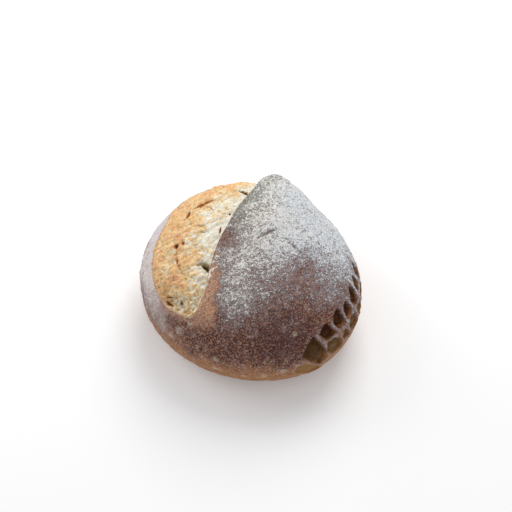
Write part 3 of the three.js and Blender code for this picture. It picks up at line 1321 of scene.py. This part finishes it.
@dataclass(frozen=True)
class CrustFinish:
    """Baked crust under flour that lies in grains and clumps.

    Attributes:
        grain: Width of a grain of flour, in millimetres.
        clump: Width of a clump.
    """

    grain: float = 1.15
    clump: float = 3.2

    def film(self, maker: NodeMaker) -> Value:
        """Thin film of flour that has soaked into the crust between the grains.

        Args:
            maker: Maker of the material's nodes.

        Returns:
            Cover of the film from 0 to 1.
        """
        thin = 0.3 + 0.6 * maker.noise(1.9, 3.0, 0.65).step(0.38, 0.6)
        thin = thin + maker.mark("soaked") * (0.95 - thin)
        return maker.mark("flour").step(0.05, 0.9) * thin

    def grains(self, maker: NodeMaker) -> Value:
        """Loose flour, at the scale of its grains.

        Args:
            maker: Maker of the material's nodes.

        Returns:
            Cover of the grains from 0 to 1.
        """
        cover = maker.mark("flour")
        streaks = maker.noise(1.3, 2.0, 0.6, maker.combed(CLOTH_AZIMUTH, 3.0))
        grains = maker.noise(self.grain, 3.0, 0.7) * 0.6 + maker.noise(self.clump, 2.0) * 0.2
        grains = grains + streaks * 0.2
        start = 0.63 - 0.212 * cover
        specks = grains.step(start - 0.03, start + 0.05) * cover.step(0.0, 0.12)
        specks = specks * (1.0 - 0.45 * maker.mark("soaked"))
        return specks * (0.65 + 0.35 * maker.noise(1.4, 3.0, 0.65).step(0.38, 0.6))

    def bare(self, maker: NodeMaker) -> Value:
        """Colour of the crust under its flour.

        Args:
            maker: Maker of the material's nodes.

        Returns:
            The colour.
        """
        dark = maker.mark("bake")
        patches = maker.noise(6.0, 4.0, 0.65)
        bake = dark + (patches - 0.5) * 1.3 + (maker.noise(1.8, 3.0, 0.65) - 0.5) * 0.9
        bake = bake + (maker.noise(22.0, 3.0, 0.6) - 0.5) * 0.8
        crust = maker.mix(bake.step(-0.15, 0.5), Bake.TAN, Bake.BROWN)
        crust = maker.mix(bake.step(0.4, 1.0), crust, Bake.PLUM)
        haze = maker.noise(13.0, 4.0, 0.65).step(0.46, 0.7) * dark
        haze = haze * maker.noise(1.7, 3.0, 0.65).step(0.36, 0.62)
        crust = maker.mix(haze * 0.5, crust, Bake.LAVENDER)
        ragged = 0.2 + 0.65 * maker.noise(1.5, 3.0, 0.75).step(0.43, 0.57)
        crust = maker.mix(maker.mark("margin") * ragged, crust, Bake.MARGIN)
        sparks = maker.noise(1.3, 3.0, 0.65).step(0.5, 0.64) * (1.0 - dark.step(1.0, 1.7) * 0.6)
        crust = maker.mix(sparks * 0.75, crust, Bake.EMBER)
        # Painted shade: the crust on the ear's lip turns grey.
        crust = maker.mix(maker.mark("ear") * 0.9, crust, Bake.SHADED_EAR)
        motes = maker.noise(1.7, 4.0, 0.7).step(0.53, 0.63) * (0.9 - 0.3 * dark)
        motes = motes + maker.noise(8.0, 4.0, 0.65).step(0.57, 0.7) * (0.6 - 0.6 * dark)
        motes = motes + maker.mark("blister") * maker.noise(1.4, 2.0).step(0.35, 0.6) * 0.5
        motes = motes + maker.mark("margin") * maker.noise(1.2, 3.0, 0.7).step(0.5, 0.6) * 0.9
        crust = maker.mix(motes * 0.75, crust, Bake.BLISTER)
        blotch = maker.mark("blotch") * maker.noise(2.0, 3.0, 0.6).step(0.3, 0.55)
        return maker.mix(blotch * 0.6, crust, Bake.BLOTCH)

    def colour(self, maker: NodeMaker, film: Value, grains: Value) -> Value:
        """Colour of the crust and its flour.

        Args:
            maker: Maker of the material's nodes.
            film: Cover of the soaked film.
            grains: Cover of the loose grains.

        Returns:
            The colour.
        """
        paste = maker.mix(maker.mark("soaked"), Bake.DAMP_FLOUR, Bake.SOAKED_FLOUR)
        # Painted shade: the flour on the ear's lip turns grey.
        paste = maker.mix(maker.mark("ear"), paste, Bake.SHADED_EAR_FLOUR)
        damp = maker.mix(film, self.bare(maker), paste)
        strip = maker.mark("strip") * maker.noise(2.4, 3.0, 0.6).step(0.25, 0.5)
        ribbed = maker.mix(strip * 0.75, damp, Bake.STRIP)
        # Painted sky light: flour on the flanks is tinted blue.
        dust = maker.mix(maker.mark("sky_tint"), Bake.FLOUR, Bake.SKY_TINTED_FLOUR)
        floured = maker.mix(grains, ribbed, dust)
        return maker.mix(maker.mark("lip"), floured, Bake.CREAM)

    def height(self, maker: NodeMaker, grains: Value) -> Value:
        """Fine height of the crust and its flour."""
        return grains * 0.45 + maker.noise(1.1, 3.0, 0.7) * 0.3 + maker.noise(2.6, 2.0) * 0.25


@dataclass(frozen=True)
class CutFinish:
    """Dark crumb inside the wheat cuts, with an amber edge that is partly less baked crumb and
    partly painted light.
    """

    def colour(self, maker: NodeMaker) -> Value:
        """Colour inside a cut.

        Args:
            maker: Maker of the material's nodes.

        Returns:
            The colour.
        """
        tone = maker.mark("cut_pale") + (maker.noise(4.0, 4.0, 0.65) - 0.5) * 0.9
        deep = maker.mix(tone.clamped(), Bake.CUT, Bake.CUT_PALE)
        deep = maker.mix(tone.step(0.9, 1.5), deep, Bake.TAN)
        # Partly painted light: the lower edge of each cut turns amber.
        edge = maker.mark("cut_amber_lit_edge") * maker.noise(7.0, 2.0).step(0.42, 0.62)
        return maker.mix(edge * 0.75, deep, Bake.CUT_AMBER_LIT)


def baked_finish() -> bpy.types.Material:
    """The loaf's one material, which blends crumb, crust and cuts by the mesh's marks.

    Returns:
        The material.
    """
    maker = NodeMaker("baked_sourdough")
    crumb, crust, cut = CrumbFinish(), CrustFinish(), CutFinish()
    bare, snip = maker.mark("crumb"), maker.mark("cut")
    film, grains = crust.film(maker), crust.grains(maker)
    dusted = crust.colour(maker, film, grains)
    skin = maker.mix(bare, dusted, crumb.colour(maker))
    skin = maker.mix(maker.mark("rust").step(0.2, 0.7), skin, Bake.RUST)
    colour = maker.mix(snip, skin, cut.colour(maker))
    height = crust.height(maker, grains) * (1.0 - bare) + crumb.height(maker) * bare * 1.3
    rough = 0.62 + 0.16 * film + 0.16 * grains
    rough = rough * (1.0 - bare) + 0.8 * bare
    return maker.surface({
        "Base Color": colour,
        "Roughness": rough * (1.0 - 0.3 * snip),
        "Specular IOR Level": 0.12,
        "Normal": maker.bump(height, 1.6, 1.0),
    })


@dataclass(frozen=True)
class Loaf:
    """The whole loaf as one piece.

    Attributes:
        shape: The smooth loaf.
        crumb: The open crumb.
        wheat: The scored stalk.
        crust: The crust.
        cells: Cells along each edge of the cube that the mesh starts from.
        crowding: How tightly its columns crowd at the ear, from 0 to 1.
        rounds: Number of times that coarse faces are subdivided.
        foot_cell: Wanted cell size by the foot, in millimetres.
        side_cell: Wanted cell size on the flanks.
        crown_cell: Wanted cell size on the crown.
        fine_cell: Wanted cell size in the crumb, on the ear and in the cuts.
        crown_from: Height where the crown's cells start, in millimetres.
        side_from: Height where the flanks' cells start.
        crumb_margin: Width of crust beside the crumb that has fine cells too.
        ear_folds: Place across the fold where the ear's fine cells end.
        coarsest: Greatest length of an edge, as a factor on the wanted cell size.
        touching: Height under which the foot is flat on the floor, in millimetres.
        proud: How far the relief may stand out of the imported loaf's box, in millimetres.
    """

    shape: BakedShape = BakedShape()
    crumb: Crumb = Crumb()
    wheat: WheatStalk = WheatStalk()
    crust: CrustSkin = CrustSkin()
    cells: int = 38
    crowding: float = 0.55
    rounds: int = 3
    foot_cell: float = 3.4
    side_cell: float = 2.1
    crown_cell: float = 1.4
    fine_cell: float = 0.95
    crown_from: float = 50.0
    side_from: float = 14.0
    crumb_margin: float = 3.0
    ear_folds: float = 2.5
    coarsest: float = 1.35
    touching: float = 0.01
    proud: float = 0.6

    def build(self) -> bpy.types.Object:
        """Model the loaf and dress it.

        Returns:
            The finished piece.
        """
        piece = self._grid()
        for _ in range(self.rounds):
            self._refine(piece)
        skin = self._skin(piece)
        self.crumb.shape(skin, self.shape)
        self.wheat.shape(skin, self.shape)
        self.crust.shape(skin, self.shape)
        self._set(piece, self._finished(skin))
        self._write_marks(piece, skin)
        piece.data.materials.append(baked_finish())
        select_only(piece)
        bpy.ops.object.shade_smooth()
        LOG.info("%s: %d faces", piece.name, len(piece.data.polygons))
        return piece

    def _grid(self) -> bpy.types.Object:
        """A subdivided cube blown up to a globe of directions, crowded at the slash.

        Returns:
            The piece.
        """
        select_none()
        bpy.ops.mesh.primitive_cube_add(size=2.0)
        piece = bpy.context.object
        piece.name = piece.data.name = "baked_loaf"
        bpy.ops.object.mode_set(mode="EDIT")
        bpy.ops.mesh.select_all(action="SELECT")
        bpy.ops.mesh.subdivide(number_cuts=self.cells - 1)
        bpy.ops.object.mode_set(mode="OBJECT")
        x, y, z = np.tan(read(piece) * math.pi / 4.0).T
        slash = self.shape.slash
        reach = np.degrees(np.arcsin(y / np.sqrt(x * x + y * y + z * z)))
        column = np.arctan2(x, z)
        crowded = np.degrees(column - self.crowding * np.sin(column))
        self._set(piece, slash.directions(slash.edge(reach) + crowded, reach))
        return piece

    def _refine(self, piece: bpy.types.Object) -> None:
        """Subdivide the faces that are too coarse for where they lie.

        Args:
            piece: The loaf's piece.
        """
        directions = unit(read(piece))
        points = self.shape.points(directions)
        mesh = piece.data
        ends = np.empty(len(mesh.edges) * 2, dtype=np.int64)
        mesh.edges.foreach_get("vertices", ends)
        first, second = ends.reshape(-1, 2).T
        length = np.linalg.norm(points[first] - points[second], axis=1)
        wanted = self._cell_size(directions, points)
        coarse = length / np.minimum(wanted[first], wanted[second])
        loops = np.empty(len(mesh.loops), dtype=np.int64)
        mesh.loops.foreach_get("edge_index", loops)
        starts = np.empty(len(mesh.polygons), dtype=np.int64)
        mesh.polygons.foreach_get("loop_start", starts)
        worst = np.maximum.reduceat(coarse[loops], starts)
        select_none()
        select_only(piece)
        bpy.ops.object.mode_set(mode="EDIT")
        bpy.ops.mesh.select_mode(type="FACE")
        bpy.ops.mesh.select_all(action="DESELECT")
        bpy.ops.object.mode_set(mode="OBJECT")
        mesh.polygons.foreach_set("select", worst > self.coarsest)
        bpy.ops.object.mode_set(mode="EDIT")
        bpy.ops.mesh.subdivide(number_cuts=1)
        bpy.ops.object.mode_set(mode="OBJECT")
        self._set(piece, unit(read(piece)))

    def _cell_size(self, directions: Array, points: Array) -> Array:
        """Wanted cell size at each vertex, in millimetres.

        Args:
            directions: Unit directions, one row each.
            points: Places on the smooth loaf in millimetres, one row each.

        Returns:
            One size for each vertex.
        """
        slash = self.shape.slash
        turn, reach = slash.turn_and_reach(directions)
        folds = slash.folds(turn, reach)
        beside = self.crumb.inset(slash, turn, reach) > -self.crumb_margin
        bare = beside & (folds < self.ear_folds)
        scored = self.wheat.near(self.shape, points)
        height = points[:, 2]
        zones = [height > self.crown_from, height > self.side_from]
        size = np.select(zones, [self.crown_cell, self.side_cell], self.foot_cell)
        return np.where(bare | scored, self.fine_cell, size)

    def _skin(self, piece: bpy.types.Object) -> Skin:
        """Read the globe of directions and its smooth loaf into a skin.

        Args:
            piece: The loaf's piece.

        Returns:
            The skin.
        """
        directions = unit(read(piece))
        turn, reach = self.shape.slash.turn_and_reach(directions)
        points = self.shape.points(directions)
        self._set(piece, points)
        normals = np.empty(len(points) * 3)
        piece.data.vertex_normals.foreach_get("vector", normals)
        folds = self.shape.slash.folds(turn, reach)
        return Skin(points, normals.reshape(-1, 3), turn, reach, folds)

    def _finished(self, skin: Skin) -> Array:
        """Final points, in metres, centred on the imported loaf's box and kept in it.

        Args:
            skin: The finished skin.

        Returns:
            Places in metres, one row each.
        """
        points = skin.points + skin.normals * skin.relief[:, None]
        resting = skin.points[:, 2] < self.touching
        points[:, 2] = np.where(resting, 0.0, np.clip(points[:, 2], 0.0, None))
        low, high = (np.array(corner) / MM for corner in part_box(CAD_NODE))
        middle = (low + high - skin.points.min(axis=0) - skin.points.max(axis=0)) / 2.0
        points[:, :2] += middle[:2]
        return np.clip(points, low - self.proud, high + self.proud) * MM

    @staticmethod
    def _set(piece: bpy.types.Object, points: Array) -> None:
        """Write vertex places to a piece's mesh."""
        piece.data.vertices.foreach_set("co", points.ravel())
        piece.data.update()

    @staticmethod
    def _write_marks(piece: bpy.types.Object, skin: Skin) -> None:
        """Write each mark as a number on the mesh's vertices.

        Args:
            piece: The loaf's piece.
            skin: The skin with its marks.
        """
        for name, values in skin.marks.items():
            mark = piece.data.attributes.new(name, "FLOAT", "POINT")
            mark.data.foreach_set("value", np.asarray(values, dtype=np.float32))


def read(piece: bpy.types.Object) -> Array:
    """Vertex places of a piece's mesh, one row each.

    Args:
        piece: The piece.

    Returns:
        The places, in the mesh's own units.
    """
    places = np.empty(len(piece.data.vertices) * 3)
    piece.data.vertices.foreach_get("co", places)
    return places.reshape(-1, 3)


def select_none() -> None:
    """Deselect every object."""
    bpy.ops.object.select_all(action="DESELECT")


def select_only(piece: bpy.types.Object) -> None:
    """Make one object the only selected and the active one.

    Args:
        piece: The object.
    """
    select_none()
    piece.select_set(True)
    bpy.context.view_layer.objects.active = piece


@dataclass(frozen=True)
class SoftLight:
    """A square soft light.

    Attributes:
        name: Name of the light.
        place: Its place in metres.
        size: Length of its sides in metres.
        power: Power in watts.
        colour: Linear red, green and blue.
    """

    name: str
    place: tuple[float, float, float]
    size: float
    power: float
    colour: tuple[float, float, float]

    def build(self, aim: Vector) -> None:
        """Add the light to the scene.

        Args:
            aim: Place that it faces.
        """
        bpy.ops.object.light_add(type="AREA", location=self.place)
        light = bpy.context.object
        light.name = self.name
        light.data.size = self.size
        light.data.energy = self.power
        light.data.color = self.colour
        towards = aim - Vector(self.place)
        light.rotation_euler = towards.to_track_quat("-Z", "Y").to_euler()


@dataclass(frozen=True)
class Studio:
    """A pale floor, soft lights and the camera.

    Attributes:
        aim: Place that the lights and the camera face, in metres.
        elevation: How far the camera looks down, in degrees.
        distance: Distance of the camera from the aim, in metres.
        field: Width of the view at the aim, in metres.
        shift: How far the view is shifted right and up, as shares of its width.
        floor_size: Length of the floor's sides in metres.
        lights: The soft lights.
    """

    aim: tuple[float, float, float] = (0.0003, -0.0021, 0.045)
    elevation: float = 55.0
    distance: float = 0.62
    field: float = 0.512
    shift: tuple[float, float] = (0.0113, 0.0352)
    floor_size: float = 8.0
    lights: tuple[SoftLight, ...] = (
        SoftLight("window", (0.25, 0.8, 1.0), 0.8, 9.5, (1.0, 0.99, 0.97)),
        SoftLight("side", (-1.0, 0.45, 0.7), 0.7, 3.5, (0.96, 0.97, 1.0)),
    )

    def build(self) -> None:
        """Set up the floor, the lights and the camera."""
        self._floor()
        self._sky()
        for light in self.lights:
            light.build(Vector(self.aim))
        self._camera()
        bpy.context.scene.view_settings.view_transform = "Standard"

    def _floor(self) -> None:
        """A wide plain floor."""
        select_none()
        bpy.ops.mesh.primitive_plane_add(size=self.floor_size)
        floor = bpy.context.object
        floor.name = "floor"
        maker = NodeMaker("pale_floor")
        floor.data.materials.append(maker.surface({
            "Base Color": (0.96, 0.96, 0.96, 1.0),
            "Roughness": 0.9,
            "Specular IOR Level": 0.2,
            "Emission Color": (1.0, 1.0, 1.0, 1.0),
            "Emission Strength": 0.1,
        }))

    def _sky(self) -> None:
        """An even white surround."""
        world = bpy.data.worlds.new("surround")
        world.use_nodes = True
        ground = world.node_tree.nodes["Background"]
        ground.inputs["Color"].default_value = (0.97, 0.98, 1.0, 1.0)
        ground.inputs["Strength"].default_value = 0.55
        bpy.context.scene.world = world

    def _camera(self) -> None:
        """Look down on the loaf from the front."""
        tilt = math.radians(self.elevation)
        back = Vector((0.0, -math.cos(tilt), math.sin(tilt)))
        bpy.ops.object.camera_add(location=Vector(self.aim) + back * self.distance)
        camera = bpy.context.object
        camera.rotation_euler = (-back).to_track_quat("-Z", "Y").to_euler()
        camera.data.lens = camera.data.sensor_width * self.distance / self.field
        camera.data.shift_x, camera.data.shift_y = self.shift
        bpy.context.scene.camera = camera


def main() -> None:
    """Build the loaf on its floor."""
    logging.basicConfig(level=logging.INFO, format="%(name)s: %(message)s")
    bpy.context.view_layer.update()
    Studio().build()
    loaf = Loaf().build()
    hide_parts(CAD_NODE)
    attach(loaf, "root")


if __name__ == "__main__":
    main()
